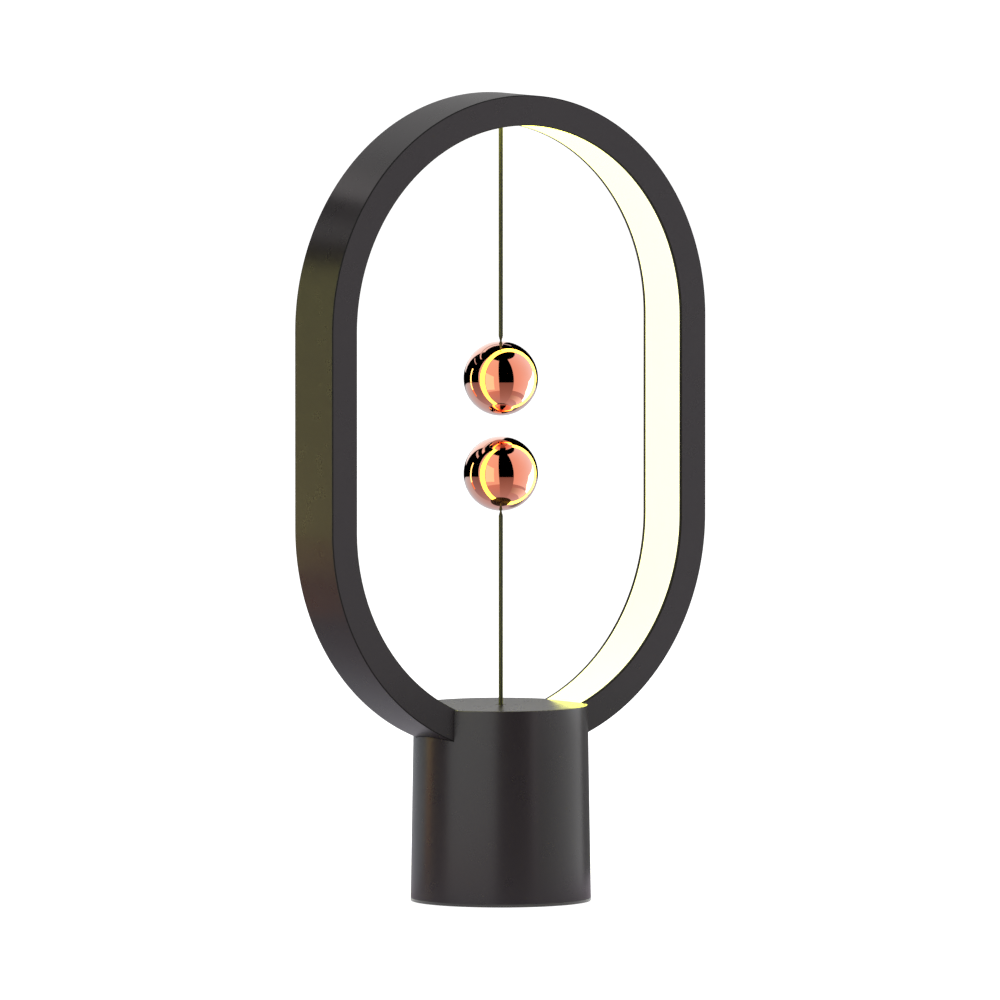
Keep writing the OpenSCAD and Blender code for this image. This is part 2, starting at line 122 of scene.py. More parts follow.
class LampFinishes(bpy.types.PropertyGroup):
    """Colours and gloss of the visible finishes."""

    charcoal: FloatVectorProperty(
        name="Charcoal", description="Colour of the satin paint on the frame and the base",
        subtype="COLOR", size=3, min=0, max=1, default=(0.0150, 0.0125, 0.0135))
    paint_roughness: FloatProperty(
        name="Paint roughness", description="Roughness of the satin paint",
        subtype="FACTOR", min=0, max=1, default=0.28)
    rose_gold: FloatVectorProperty(
        name="Rose gold", description="Colour of the balls' mirror plating",
        subtype="COLOR", size=3, min=0, max=1, default=(0.95, 0.325, 0.182))
    pale_gold: FloatVectorProperty(
        name="Pale gold", description="Colour that the plating fades to where it is seen edge on",
        subtype="COLOR", size=3, min=0, max=1, default=(1.0, 0.88, 0.82))
    light: FloatVectorProperty(
        name="Light", description="Colour of the lit diffuser",
        subtype="COLOR", size=3, min=0, max=1, default=(1.0, 0.98, 0.105))
    light_strength: FloatProperty(
        name="Light strength", description="Strength of the lit diffuser", min=0, default=6.0)
    string: FloatVectorProperty(
        name="String", description="Colour of the braided strings",
        subtype="COLOR", size=3, min=0, max=1, default=(0.015, 0.017, 0.008))


class StudioSettings(bpy.types.PropertyGroup):
    """The camera and the light round the lamp."""

    azimuth: FloatProperty(
        name="Azimuth", description="Side from which the camera looks, from the front",
        subtype="ANGLE", default=math.radians(-35.75))
    elevation: FloatProperty(
        name="Elevation", description="Height of the camera's direction above the horizon",
        subtype="ANGLE", default=math.radians(4.335))
    distance: length("Distance", "Distance from the camera to the lamp", 12.0)
    field: length("Field", "Width that the camera sees at the lamp", 0.3090)
    aim_height: length("Aim height", "Height of the point that the camera aims at", 0.1242)
    floor_size: length("Floor size", "Width of the studio floor", 30.0)
    tent_radius: length("Tent radius", "Radius of the dark tent that holds the cards", 0.9)
    aim_side: length("Aim side", "How far to the image's left of the lamp's axis the camera aims", 0.25 * MM)
    eye_height: length("Eye height", "Height of the point that the cards are set out from", 0.147)
    ambient: FloatProperty(
        name="Ambient", description="Strength of the world's soft light", min=0, default=0.35)


# ---- Surfaces worked out as arrays ----


def unit(vectors):
    """Each row of vectors, divided by its length."""
    return vectors / np.linalg.norm(vectors, axis=-1, keepdims=True)


def rounded(corners, fillet, steps=4, support=0.08 * MM):
    """A closed outline whose corners are arcs.

    The arc's middle lies on the corner's bisector, at the fillet over the sine of the half angle, and the
    arc turns from one side's tangent point to the other's. A support point on each side of the arc keeps
    the shading of the flat sides flat.
    """
    corners = np.asarray(corners, float)
    fillet = np.broadcast_to(np.asarray(fillet, float), len(corners))
    before = unit(np.roll(corners, 1, 0) - corners)
    after = unit(np.roll(corners, -1, 0) - corners)
    half = np.arccos(np.clip((before * after).sum(1), -1, 1)) / 2
    middle = corners + unit(before + after) * (fillet / np.sin(half))[:, None]
    reach = (fillet / np.tan(half))[:, None]
    start = corners + before * reach - middle
    end = corners + after * reach - middle
    turn = (math.pi - 2 * half)[:, None]
    share = np.linspace(0, 1, steps + 1)[None, :]
    from_start = np.sin((1 - share) * turn) / np.sin(turn)
    from_end = np.sin(share * turn) / np.sin(turn)
    arcs = middle[:, None] + from_start[..., None] * start[:, None] + from_end[..., None] * end[:, None]
    first = (corners + before * (reach + support))[:, None]
    last = (corners + after * (reach + support))[:, None]
    return np.concatenate([first, arcs, last], axis=1).reshape(-1, 2)


def grid_mesh(name, points, closed_rows=False, closed_columns=False, sharp=40.0, uv=None, merge=True):
    """A mesh with a quad between each grid point and its neighbours along both directions.

    A closed direction joins its last line of points to its first. Points that coincide, as at a pole, are
    merged, and the faces are turned outwards. Edges sharper than the given angle stay sharp.
    """
    rows, columns = points.shape[:2]
    i = np.arange(rows if closed_rows else rows - 1)[:, None]
    j = np.arange(columns if closed_columns else columns - 1)[None, :]
    down = (i + 1) % rows
    across = (j + 1) % columns
    quads = np.stack([i * columns + j, i * columns + across, down * columns + across, down * columns + j], -1)
    quads = quads.reshape(-1, 4)
    mesh = bpy.data.meshes.new(name)
    mesh.from_pydata(points.reshape(-1, 3), [], quads)
    if uv is not None:
        corner_uv = uv.reshape(-1, 2)[quads.reshape(-1)]
        layer = mesh.uv_layers.new(name="UVMap")
        layer.data.foreach_set("uv", corner_uv.astype(np.float32).reshape(-1))
    if merge:
        tidy_mesh(mesh, sharp)
    return mesh


def tidy_mesh(mesh, sharp=40.0):
    """Merges coinciding points, turns the faces outwards and shades them smooth between sharp edges."""
    work = bmesh.new()
    work.from_mesh(mesh)
    bmesh.ops.remove_doubles(work, verts=work.verts, dist=1e-7)
    bmesh.ops.recalc_face_normals(work, faces=work.faces)
    work.to_mesh(mesh)
    work.free()
    mesh.shade_smooth()
    mesh.set_sharp_from_angle(angle=math.radians(sharp))
    mesh.update()


def revolved(name, outline, columns=128, closed=True, sharp=40.0, centre=(0, 0)):
    """An outline of radius and height, carried round an upright axis through centre."""
    angle = np.linspace(0, 2 * math.pi, columns, endpoint=False)[:, None]
    radius = outline[None, :, 0]
    height = np.broadcast_to(outline[None, :, 1], (columns, len(outline)))
    points = np.stack([centre[0] + radius * np.cos(angle), centre[1] + radius * np.sin(angle), height], -1)
    return grid_mesh(name, points, closed_rows=True, closed_columns=closed, sharp=sharp)


def oval_line(sizes, steps=60, side_steps=12):
    """The frame's closed line: a turn angle and the height of the centre it turns about, at each station.

    The turn runs from -90 to 270 degrees. It stands still along the two straight sides, while the centre
    climbs from the low one to the high one, or comes back down.
    """
    low_z = low("frame_channel").z + sizes.frame_radius
    high_z = high("frame_channel").z - sizes.frame_radius
    quarter = np.linspace(0, 0.5 * math.pi, steps, endpoint=False)
    still = np.zeros(side_steps)
    climb = np.linspace(low_z, high_z, side_steps, endpoint=False)
    fall = np.linspace(high_z, low_z, side_steps, endpoint=False)
    turn = np.concatenate([
        quarter - 0.5 * math.pi, still, quarter, quarter + 0.5 * math.pi, still + math.pi, quarter + math.pi])
    centre = np.concatenate([
        0 * quarter + low_z, climb, 0 * quarter + high_z, 0 * quarter + high_z, fall, 0 * quarter + low_z])
    return turn, centre


def oval_swept(name, outline, line, closed=True, sharp=40.0):
    """An outline of radius and depth, carried along the frame's line.

    A point at radius r and depth y lies at x = r cos(turn), y, z = centre + r sin(turn).
    """
    turn, centre = line[0][:, None], line[1][:, None]
    radius = outline[None, :, 0]
    depth = np.broadcast_to(outline[None, :, 1], (len(turn), len(outline)))
    points = np.stack([radius * np.cos(turn), depth, centre + radius * np.sin(turn)], -1)
    return grid_mesh(name, points, closed_rows=closed, closed_columns=True, sharp=sharp)


def end_caps(mesh):
    """Closes a swept tube at both ends, with one face on each end outline."""
    work = bmesh.new()
    work.from_mesh(mesh)
    bmesh.ops.holes_fill(work, edges=work.edges, sides=0)
    bmesh.ops.recalc_face_normals(work, faces=work.faces)
    work.to_mesh(mesh)
    work.free()


def place(name, mesh, body, material, replaced):
    """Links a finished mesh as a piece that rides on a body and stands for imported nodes."""
    piece = bpy.data.objects.new(name, mesh)
    bpy.context.scene.collection.objects.link(piece)
    mesh.materials.append(material)
    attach(piece, body)
    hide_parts(*replaced)
    return piece


def cut_mesh(mesh, cutters, operation="DIFFERENCE"):
    """The mesh with solid cutter meshes taken away from it, or added to it."""
    scene = bpy.context.scene
    work = bpy.data.objects.new("work", mesh)
    scene.collection.objects.link(work)
    helpers = []
    for cutter in cutters:
        helper = bpy.data.objects.new("helper", cutter)
        scene.collection.objects.link(helper)
        helpers.append(helper)
        step = work.modifiers.new("cut", "BOOLEAN")
        step.operation = operation
        step.solver = "EXACT"
        step.object = helper
    evaluated = work.evaluated_get(bpy.context.evaluated_depsgraph_get())
    result = bpy.data.meshes.new_from_object(evaluated)
    result.name = mesh.name
    for helper in [work, *helpers]:
        bpy.data.objects.remove(helper)
    tidy_mesh(result)
    return result


def rod(radius, start, end, columns=48):
    """A plain round bar on the upright axis, between two heights, as a cutter."""
    outline = np.array([[0, start], [radius, start], [radius, end], [0, end]])
    return revolved("rod", outline, columns, closed=False, sharp=30.0)


# ---- Finishes ----


class Shader:
    """A material whose Principled shader is fed by a few pattern nodes."""

    def __init__(self, name, **sockets):
        self.material = bpy.data.materials.new(name)
        self.material.use_nodes = True
        self.tree = self.material.node_tree
        self.shader = self.tree.nodes["Principled BSDF"]
        for socket, value in sockets.items():
            self.shader.inputs[socket.replace("_", " ")].default_value = value
        self.place = self.node("ShaderNodeTexCoord").outputs["Object"]

    def node(self, kind, **values):
        """A new node, with its named settings and unlinked inputs set."""
        made = self.tree.nodes.new(kind)
        for key, value in values.items():
            if key in made.inputs:
                made.inputs[key].default_value = value
            else:
                setattr(made, key, value)
        return made

    def join(self, source, target):
        """Links an output to an input."""
        self.tree.links.new(source, target)

    def noise(self, grain, detail=3.0):
        """Noise whose grains are that many metres across, from 0 to 1."""
        made = self.node("ShaderNodeTexNoise", Scale=1 / grain, Detail=detail)
        self.join(self.place, made.inputs["Vector"])
        return made.outputs["Fac"]

    def calculate(self, operation, *values):
        """The result of a math node, fed by other outputs or by plain numbers."""
        made = self.node("ShaderNodeMath", operation=operation)
        for socket, value in zip(made.inputs, values):
            if isinstance(value, bpy.types.NodeSocket):
                self.join(value, socket)
            else:
                socket.default_value = value
        return made.outputs[0]

    def ranged(self, source, from_low, from_high, to_low, to_high):
        """Maps a value from one range to another."""
        ends = {"From Min": from_low, "From Max": from_high, "To Min": to_low, "To Max": to_high}
        made = self.node("ShaderNodeMapRange", **ends)
        self.join(source, made.inputs["Value"])
        return made.outputs["Result"]

    def spread(self, source, lowest, highest):
        """Maps a noise pattern to a range."""
        return self.ranged(source, NOISE_LOW, NOISE_HIGH, lowest, highest)

    def tint(self, source, first, second):
        """A colour between two, chosen by a noise pattern."""
        made = self.node("ShaderNodeValToRGB")
        made.color_ramp.elements[0].position = NOISE_LOW
        made.color_ramp.elements[0].color = (*first, 1)
        made.color_ramp.elements[1].position = NOISE_HIGH
        made.color_ramp.elements[1].color = (*second, 1)
        self.join(source, made.inputs["Fac"])
        return made.outputs["Color"]

    def bump(self, source, depth):
        """Raises the surface by a pattern, to that depth in metres."""
        made = self.node("ShaderNodeBump", Strength=1.0, Distance=depth)
        self.join(source, made.inputs["Height"])
        self.join(made.outputs["Normal"], self.shader.inputs["Normal"])

    def grained(self, colour, contrast, roughness, rough_spread, grain, bump_grain, bump_depth):
        """A finish whose colour, gloss and surface vary a little with noise."""
        colour = np.asarray(colour[:3], float)
        pattern = self.noise(grain)
        self.join(self.tint(pattern, colour * (1 - contrast), np.minimum(colour * (1 + contrast), 1)),
                  self.shader.inputs["Base Color"])
        self.join(self.spread(pattern, roughness - rough_spread, roughness + rough_spread),
                  self.shader.inputs["Roughness"])
        self.bump(self.noise(bump_grain, 2.0), bump_depth)
        return self.material


def satin_paint(name, ior):
    """Satin charcoal paint with a fine sprayed surface. The frame, the base and the lid each get a copy with
    its own IOR, set apart so that each piece's reflections match how brightly it is lit: painted light in the
    gloss.
    """
    finishes = bpy.context.scene.lamp_finishes
    shader = Shader(name, IOR=ior)
    return shader.grained(
        finishes.charcoal, 0.04, finishes.paint_roughness, 0.01, 6 * MM, 0.3 * MM, 0.0004 * MM)


def painted_shade_black(name):
    """Dull black painted shade, for the thin dark lines along the frame's and the base's edges and for the
    inside of the frame's channel.
    """
    shader = Shader(name, IOR=1.35)
    return shader.grained((0.006, 0.006, 0.006), 0.1, 0.7, 0.05, 2 * MM, 0.3 * MM, 0.001 * MM)


def face_values(mesh):
    """The middles and the normals of a mesh's faces, as arrays."""
    middles = np.zeros(3 * len(mesh.polygons))
    normals = np.zeros(3 * len(mesh.polygons))
    mesh.polygons.foreach_get("center", middles)
    mesh.polygons.foreach_get("normal", normals)
    return middles.reshape(-1, 3), normals.reshape(-1, 3)


def paint_faces(mesh, chosen, material):
    """Gives the chosen faces a second material."""
    mesh.materials.append(material)
    mesh.polygons.foreach_set("material_index", chosen.astype(np.int32))


def rose_gold_plating():
    """Mirror plating of rose gold with the faintest polishing haze, paler where it is seen edge on."""
    finishes = bpy.context.scene.lamp_finishes
    shader = Shader("rose_gold_plating", Metallic=1.0)
    gold = np.asarray(finishes.rose_gold[:3], float)
    pattern = shader.noise(4 * MM)
    edge_on = shader.node("ShaderNodeLayerWeight", Blend=0.5)
    share = shader.calculate("POWER", edge_on.outputs["Facing"], 1.5)
    blend = shader.node("ShaderNodeMixRGB")
    shader.join(share, blend.inputs["Fac"])
    shader.join(shader.tint(pattern, gold * 0.98, np.minimum(gold * 1.02, 1)), blend.inputs["Color1"])
    blend.inputs["Color2"].default_value = (*finishes.pale_gold, 1)
    shader.join(blend.outputs["Color"], shader.shader.inputs["Base Color"])
    shader.join(shader.spread(pattern, 0.02, 0.04), shader.shader.inputs["Roughness"])
    return shader.material


def lit_diffuser(half_width):
    """Milky plastic lit from behind: an even glow that falls off and turns pale along its two edges."""
    finishes = bpy.context.scene.lamp_finishes
    shader = Shader("lit_diffuser", IOR=1.49)
    split = shader.node("ShaderNodeSeparateXYZ")
    shader.join(shader.place, split.inputs["Vector"])
    depth = shader.calculate("ABSOLUTE", split.outputs["Y"])
    near_edge = shader.ranged(depth, half_width - 1.1 * MM, half_width - 0.2 * MM, 0.0, 1.0)
    glow = shader.node("ShaderNodeMixRGB")
    shader.join(near_edge, glow.inputs["Fac"])
    light = np.array(finishes.light[:3]) * finishes.light_strength
    glow.inputs["Color1"].default_value = (*light, 1)
    glow.inputs["Color2"].default_value = (0.95, 0.94, 0.72, 1)
    shader.join(glow.outputs["Color"], shader.shader.inputs["Emission Color"])
    shader.shader.inputs["Emission Strength"].default_value = 1.0
    return shader.grained((0.50, 0.49, 0.36), 0.02, 0.45, 0.04, 5 * MM, 0.5 * MM, 0.002 * MM)


def braided_cord():
    """Braided cord with painted shade: strands lighter on their crowns and darker in the creases between
    them, by the string's own UV map.
    """
    finishes = bpy.context.scene.lamp_finishes
    shader = Shader("braided_cord", Sheen_Weight=0.05, Sheen_Roughness=0.5, IOR=1.45)
    colour = np.asarray(finishes.string[:3], float)
    map_node = shader.node("ShaderNodeUVMap", uv_map="UVMap")
    split = shader.node("ShaderNodeSeparateXYZ")
    shader.join(map_node.outputs["UV"], split.inputs["Vector"])
    strands = []
    for direction in ("ADD", "SUBTRACT"):
        lean = shader.calculate(direction, split.outputs["X"], split.outputs["Y"])
        turn = shader.calculate("MULTIPLY", lean, math.pi)
        wave = shader.calculate("SINE", turn)
        strands.append(shader.calculate("ABSOLUTE", wave))
    # Painted shade: the colour darkens in the creases between strands and lightens on their crowns
    height = shader.calculate("MAXIMUM", *strands)
    crown = shader.ranged(height, 0.6, 1.0, NOISE_LOW, NOISE_HIGH)
    shader.join(shader.tint(crown, colour * 0.6, colour * 1.15), shader.shader.inputs["Base Color"])
    shader.join(shader.spread(shader.noise(0.4 * MM), 0.45, 0.6), shader.shader.inputs["Roughness"])
    return shader.material


# Finish of each packed material slot: colour, contrast, roughness, its spread, then grain, bump grain and
# bump depth in millimetres, and metallic
SLOT_FINISHES = {
    "inner_plastic": ((0.024, 0.024, 0.025), 0.08, 0.55, 0.05, 3, 0.25, 0.006, 0),
    "strip_film": ((0.85, 0.84, 0.78), 0.03, 0.5, 0.05, 2, 0.4, 0.001, 0),
    "emitter": ((0.95, 0.80, 0.35), 0.06, 0.3, 0.05, 1, 0.3, 0.002, 0),
    "magnet_metal": ((0.62, 0.63, 0.65), 0.04, 0.22, 0.06, 2, 0.3, 0.0005, 1),
    "string_fibre": ((0.020, 0.022, 0.010), 0.2, 0.6, 0.08, 0.3, 0.2, 0.01, 0),
    "brass": ((0.72, 0.53, 0.25), 0.05, 0.3, 0.07, 1.5, 0.2, 0.001, 1),
    "screw_steel": ((0.52, 0.53, 0.54), 0.06, 0.35, 0.08, 1, 0.2, 0.001, 1),
    "spring_steel": ((0.48, 0.49, 0.51), 0.05, 0.28, 0.06, 0.6, 0.2, 0.0005, 1),
    "slider_plastic": ((0.80, 0.77, 0.69), 0.03, 0.45, 0.05, 2, 0.3, 0.003, 0),
    "board_laminate": ((0.028, 0.11, 0.042), 0.25, 0.35, 0.06, 1.2, 0.5, 0.003, 0),
    "chip_plastic": ((0.014, 0.015, 0.016), 0.1, 0.5, 0.05, 0.5, 0.2, 0.004, 0),
    "coil_ferrite": ((0.042, 0.042, 0.045), 0.15, 0.6, 0.06, 0.5, 0.2, 0.006, 0),
    "can_metal": ((0.60, 0.61, 0.63), 0.05, 0.25, 0.06, 1, 0.2, 0.0005, 1),
    "wire_jacket": ((0.27, 0.028, 0.022), 0.06, 0.35, 0.05, 1, 0.3, 0.002, 0),
    "ballast_steel": ((0.20, 0.20, 0.21), 0.15, 0.5, 0.1, 3, 0.4, 0.006, 1),
    "foot_rubber": ((0.012, 0.012, 0.012), 0.15, 0.75, 0.05, 1.5, 0.3, 0.01, 0),
}


def slot_finish(slot):
    """The procedural finish of a packed material slot, made once."""
    found = bpy.data.materials.get("finish_" + slot)
    if found:
        return found
    colour, contrast, roughness, spread, grain, bump_grain, depth, metal = SLOT_FINISHES[slot]
    shader = Shader("finish_" + slot, Metallic=float(metal))
    return shader.grained(
        colour, contrast, roughness, spread, grain * MM, bump_grain * MM, depth * MM)


# ---- Operators: one for each piece or group of like pieces ----


class LAMP_OT_frame(bpy.types.Operator):
    """Make the oval frame: a channel with filleted edges, carried along the frame's line"""

    bl_idname = "lamp.frame"
    bl_label = "Frame"

    def execute(self, context):
        sizes = context.scene.lamp_sizes
        outer, half = sizes.frame_radius, sizes.frame_depth / 2
        inner = outer - sizes.frame_band
        web = outer - sizes.frame_web
        cheek = half - sizes.frame_cheek
        edge, lip, corner = sizes.edge, sizes.lip_edge, 0.2 * MM
        outline = rounded(
            [(outer, -half), (inner, -half), (inner, -cheek), (web, -cheek),
             (web, cheek), (inner, cheek), (inner, half), (outer, half)],
            [edge, edge, lip, corner, corner, lip, edge, edge])
        line = oval_line(sizes)
        mesh = oval_swept("oval_frame", outline, line)
        guide_hole = 4.3 * MM
        hole = rod(guide_hole, low("frame_channel").z - MM, high("switch_guide").z, columns=64)
        mesh = cut_mesh(mesh, [hole])
        place("oval_frame", mesh, "lamp", satin_paint("frame_paint", 1.46), ["frame_channel"])
        # Painted shade: the channel's inside, the front lip's inner edge and the fillets are dull black, for
        # thin dark lines along the diffuser's and the frame's edges
        paint_faces(mesh, self.painted_shade_faces(mesh, line, inner, web, cheek), painted_shade_black("frame_painted_shade"))
        return {"FINISHED"}

    def painted_shade_faces(self, mesh, line, inner, web, cheek):
        """Which faces get painted shade in dull black: those in the channel, on the front lip's inner edge
        and on the fillets, for the thin dark lines along the diffuser's and the frame's edges.

        A face's radius is the distance of its middle from the straight line between the two centres that
        the frame turns about. A fillet's faces lean between the flat sides and the round ones.
        """
        middles, normals = face_values(mesh)
        x, y, z = middles.T
        radius = np.hypot(x, z - np.clip(z, line[1].min(), line[1].max()))
        channel = (np.abs(y) < cheek + 0.01 * MM) & (radius < web + 0.01 * MM)
        front_lip = (y < 0) & (radius < inner + 0.02 * MM)
        lean = np.abs(normals[:, 1])
        fillet = (lean > 0.15) & (lean < 0.99)
        return channel | front_lip | fillet


class LAMP_OT_diffuser(bpy.types.Operator):
    """Make the milky diffuser that fills the frame's mouth, open at its foot"""

    bl_idname = "lamp.diffuser"
    bl_label = "Diffuser"

    def execute(self, context):
        sizes = context.scene.lamp_sizes
        outer_half = high("diffuser").y
        back = high("diffuser").x
        recess, end_inset = 0.1 * MM, 4.5 * MM
        string_hole, hole_depth = 3.8 * MM, 20 * MM
        face = sizes.frame_radius - sizes.frame_band + recess
        outline = rounded(
            [(back, -outer_half), (face, -outer_half), (face, outer_half), (back, outer_half)], 0.2 * MM, 3)
        turn, centre = oval_line(sizes)
        foot = math.asin((sizes.lid_radius - end_inset) / face)
        inside = (turn > foot - 0.5 * math.pi) & (turn < 1.5 * math.pi - foot)
        turn = np.concatenate([[foot - 0.5 * math.pi], turn[inside], [1.5 * math.pi - foot]])
        centre = np.concatenate([[centre[0]], centre[inside], [centre[-1]]])
        mesh = oval_swept("diffuser_strip", outline, (turn, centre), closed=False)
        end_caps(mesh)
        hole = rod(string_hole, high("upper_string").z - hole_depth, high("frame_channel").z)
        mesh = cut_mesh(mesh, [hole])
        place("diffuser_strip", mesh, "lamp", lit_diffuser(outer_half), ["diffuser"])
        return {"FINISHED"}


class LAMP_OT_balls(bpy.types.Operator):
    """Make the two mirror balls and the caps that close them at their strings"""

    bl_idname = "lamp.balls"
    bl_label = "Balls"

    def execute(self, context):
        sizes = context.scene.lamp_sizes
        plating = rose_gold_plating()
        radius, cap = sizes.ball_radius, sizes.cap_radius + 0.05 * MM
        hole = sizes.neck_radius + 0.06 * MM
        skin, magnet_height = 2 * MM, 6 * MM
        knot, knot_depth = 1.2 * MM, 5 * MM
        magnet_end = -radius + skin
        inner_end = magnet_end + magnet_height
        shoulder = radius - knot_depth
        seam = math.asin(cap / radius)
        for name, body, up in (("upper_ball", "upper_pendulum", 1), ("lower_ball", "lower_ball", -1)):
            pole = low(name).z if up > 0 else high(name).z
            centre = pole + up * radius
            angle = np.linspace(math.pi, seam, 96)
            shell = np.stack([radius * np.sin(angle), radius * np.cos(angle)], -1)
            bore = np.array([[cap, magnet_end], [0, magnet_end]])
            outline = np.concatenate([shell, bore]) * (1, up) + (0, centre)
            mesh = revolved(name + "_shell", outline, 160, closed=False)
            place(name + "_shell", mesh, body, plating, [name])
            angle = np.linspace(seam, math.asin(hole / radius), 24)
            top = np.stack([radius * np.sin(angle), radius * np.cos(angle)], -1)
            inside = np.array([[hole, shoulder], [knot, shoulder], [knot, inner_end], [cap, inner_end]])
            outline = np.concatenate([top, inside]) * (1, up) + (0, centre)
            mesh = revolved(name + "_crown", outline, 160)
            place(name + "_crown", mesh, body, plating, [name + "_cap"])
        return {"FINISHED"}


class LAMP_OT_strings(bpy.types.Operator):
    """Make the two braided strings, each narrowing to a neck where it enters its ball"""

    bl_idname = "lamp.strings"
    bl_label = "Strings"

    def execute(self, context):
        sizes = context.scene.lamp_sizes
        cord = braided_cord()
        top = low("upper_ball").z + 2 * sizes.ball_radius
        foot = high("lower_ball").z - 2 * sizes.ball_radius
        knot_reach, ball_reach = 6 * MM, 0.12 * MM
        for name, body, entry, end, far in (
            ("upper_string", "upper_pendulum", top, top - knot_reach, high("upper_string").z),
            ("lower_string", "plunger", foot, foot + ball_reach, low("lower_string").z),
        ):
            mesh = string_mesh(name + "_braid", end, far, entry)
            piece = place(name + "_braid", mesh, body, cord, [name])
            if name == "lower_string":
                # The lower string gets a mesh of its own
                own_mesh(piece)
        return {"FINISHED"}


def string_mesh(name, start, end, entry):
    """A braided string along the upright axis, from inside its ball to its far end.

    Its radius is the string's, times a braid that lies between 0.95 and 1: the greater of two sets of
    strand crowns, |sin(pi(u + v))| and |sin(pi(u - v))|, where u counts the strands round the string and v
    the strand crossings along it. Inside the neck length before the ball the radius falls smoothly to the
    neck's.
    """
    sizes = bpy.context.scene.lamp_sizes
    strands = 4
    pitch, row_height = 0.9 * MM, 0.12 * MM
    rows = int(abs(end - start) / row_height)
    height = np.linspace(start, end, rows)[:, None]
    angle = np.linspace(0, 2 * math.pi, 25)[None, :]
    u = strands * angle / (2 * math.pi) + 0 * height
    v = height / pitch + 0 * angle
    crown = np.maximum(np.abs(np.sin(math.pi * (u + v))), np.abs(np.sin(math.pi * (u - v))))
    along = np.clip((height - entry) / (end - entry) * abs(end - entry) / sizes.neck_length, 0, 1)
    ease = along * along * (3 - 2 * along)
    radius = sizes.neck_radius + (sizes.string_radius - sizes.neck_radius) * ease
    radius = radius * (0.95 + 0.05 * crown)
    points = np.stack([radius * np.cos(angle), radius * np.sin(angle), height + 0 * angle], -1)
    first = np.stack([0 * angle, 0 * angle, start + 0 * angle], -1)
    last = np.stack([0 * angle, 0 * angle, end + 0 * angle], -1)
    points = np.concatenate([first, points, last])
    uv = np.stack([np.concatenate([u[:1], u, u[-1:]]), np.concatenate([v[:1], v, v[-1:]])], -1)
    return grid_mesh(name, points, uv=uv, sharp=80.0)


class LAMP_OT_base(bpy.types.Operator):
    """Make the base's casing, with its two notches for the frame and its port"""

    bl_idname = "lamp.base"
    bl_label = "Base"

    def execute(self, context):
        sizes = context.scene.lamp_sizes
        paint = satin_paint("base_paint", 1.62)
        foot, top = low("base_shell").z, high("base_shell").z
        bottom_r, wall = high("base_shell").x, sizes.base_wall
        gap, rim_edge, inner_edge = 0.1 * MM, 0.2 * MM, 0.1 * MM
        ledge_thickness, ledge_reach = 2.8 * MM, 1.85 * MM
        bore = sizes.lid_radius + gap
        top_r = bore + sizes.lid_rim
        lid_z = top - sizes.lid_thickness
        ledge_z = lid_z - ledge_thickness
        ledge_r = top_r - wall - ledge_reach
        inner_top = top_r + (bottom_r - top_r) * (top - ledge_z) / (top - foot) - wall
        outline = rounded(
            [(bottom_r, foot), (top_r, top), (bore, top), (bore, lid_z), (ledge_r, lid_z),
             (ledge_r, ledge_z), (inner_top, ledge_z), (bottom_r - wall, foot)],
            [sizes.base_edge, rim_edge] + [inner_edge] * 6)
        mesh = revolved("base_casing", outline, 240)
        slot = self.frame_cutter(gap, sizes)
        mesh = cut_mesh(mesh, [slot, self.port_cutter()])
        place("base_casing", mesh, "lamp", paint, ["base_shell"])
        # Painted shadow: the faces of the foot's fillet, close to the foot and turned downwards, are dull
        # black, a dark line where the casing meets the floor
        middles, normals = face_values(mesh)
        foot_painted_shadow = (middles[:, 2] < foot + 1.3 * sizes.base_edge) & (normals[:, 2] < -0.1)
        paint_faces(mesh, foot_painted_shadow, painted_shade_black("base_painted_shadow"))
        return {"FINISHED"}

    def frame_cutter(self, gap, sizes):
        """A full oval slab that the frame fits in, with a gap all round, fanned out from its core."""
        core = 0.15
        half = sizes.frame_depth / 2 + gap
        outer = sizes.frame_radius + gap
        turn, centre = oval_line(sizes, 90, 4)
        outline = np.array([[0, -half], [outer, -half], [outer, half], [0, half]])
        radius = outline[None, :, 0]
        points = np.stack([
            radius * np.cos(turn[:, None]),
            np.broadcast_to(outline[None, :, 1], (len(turn), len(outline))),
            np.where(radius > 0, centre[:, None] + radius * np.sin(turn[:, None]), core)], -1)
        return grid_mesh("frame_cutter", points, closed_rows=True, sharp=30.0)

    def port_cutter(self):
        """A rounded slot through the back wall, round the supply socket.

        Its fillet stops just short of half its height, so that its upright sides don't vanish.
        """
        middle = (low("usb_socket").z + high("usb_socket").z) / 2
        half_h, half_w = 3.55 * MM, 6.4 * MM
        flat = rounded(
            [(-half_w, -half_h), (half_w, -half_h), (half_w, half_h), (-half_w, half_h)],
            half_h - 0.001 * MM, 12, support=0.0)
        near, far = 15 * MM, 32 * MM
        ends = np.array([near, near, far, far])[:, None]
        shrink = np.array([0, 1, 1, 0])[:, None]
        points = np.stack([flat[None, :, 0] * shrink, ends + 0 * flat[None, :, 0],
                           middle + flat[None, :, 1] * shrink], -1)
        return grid_mesh("port_cutter", points, closed_columns=True, sharp=30.0)


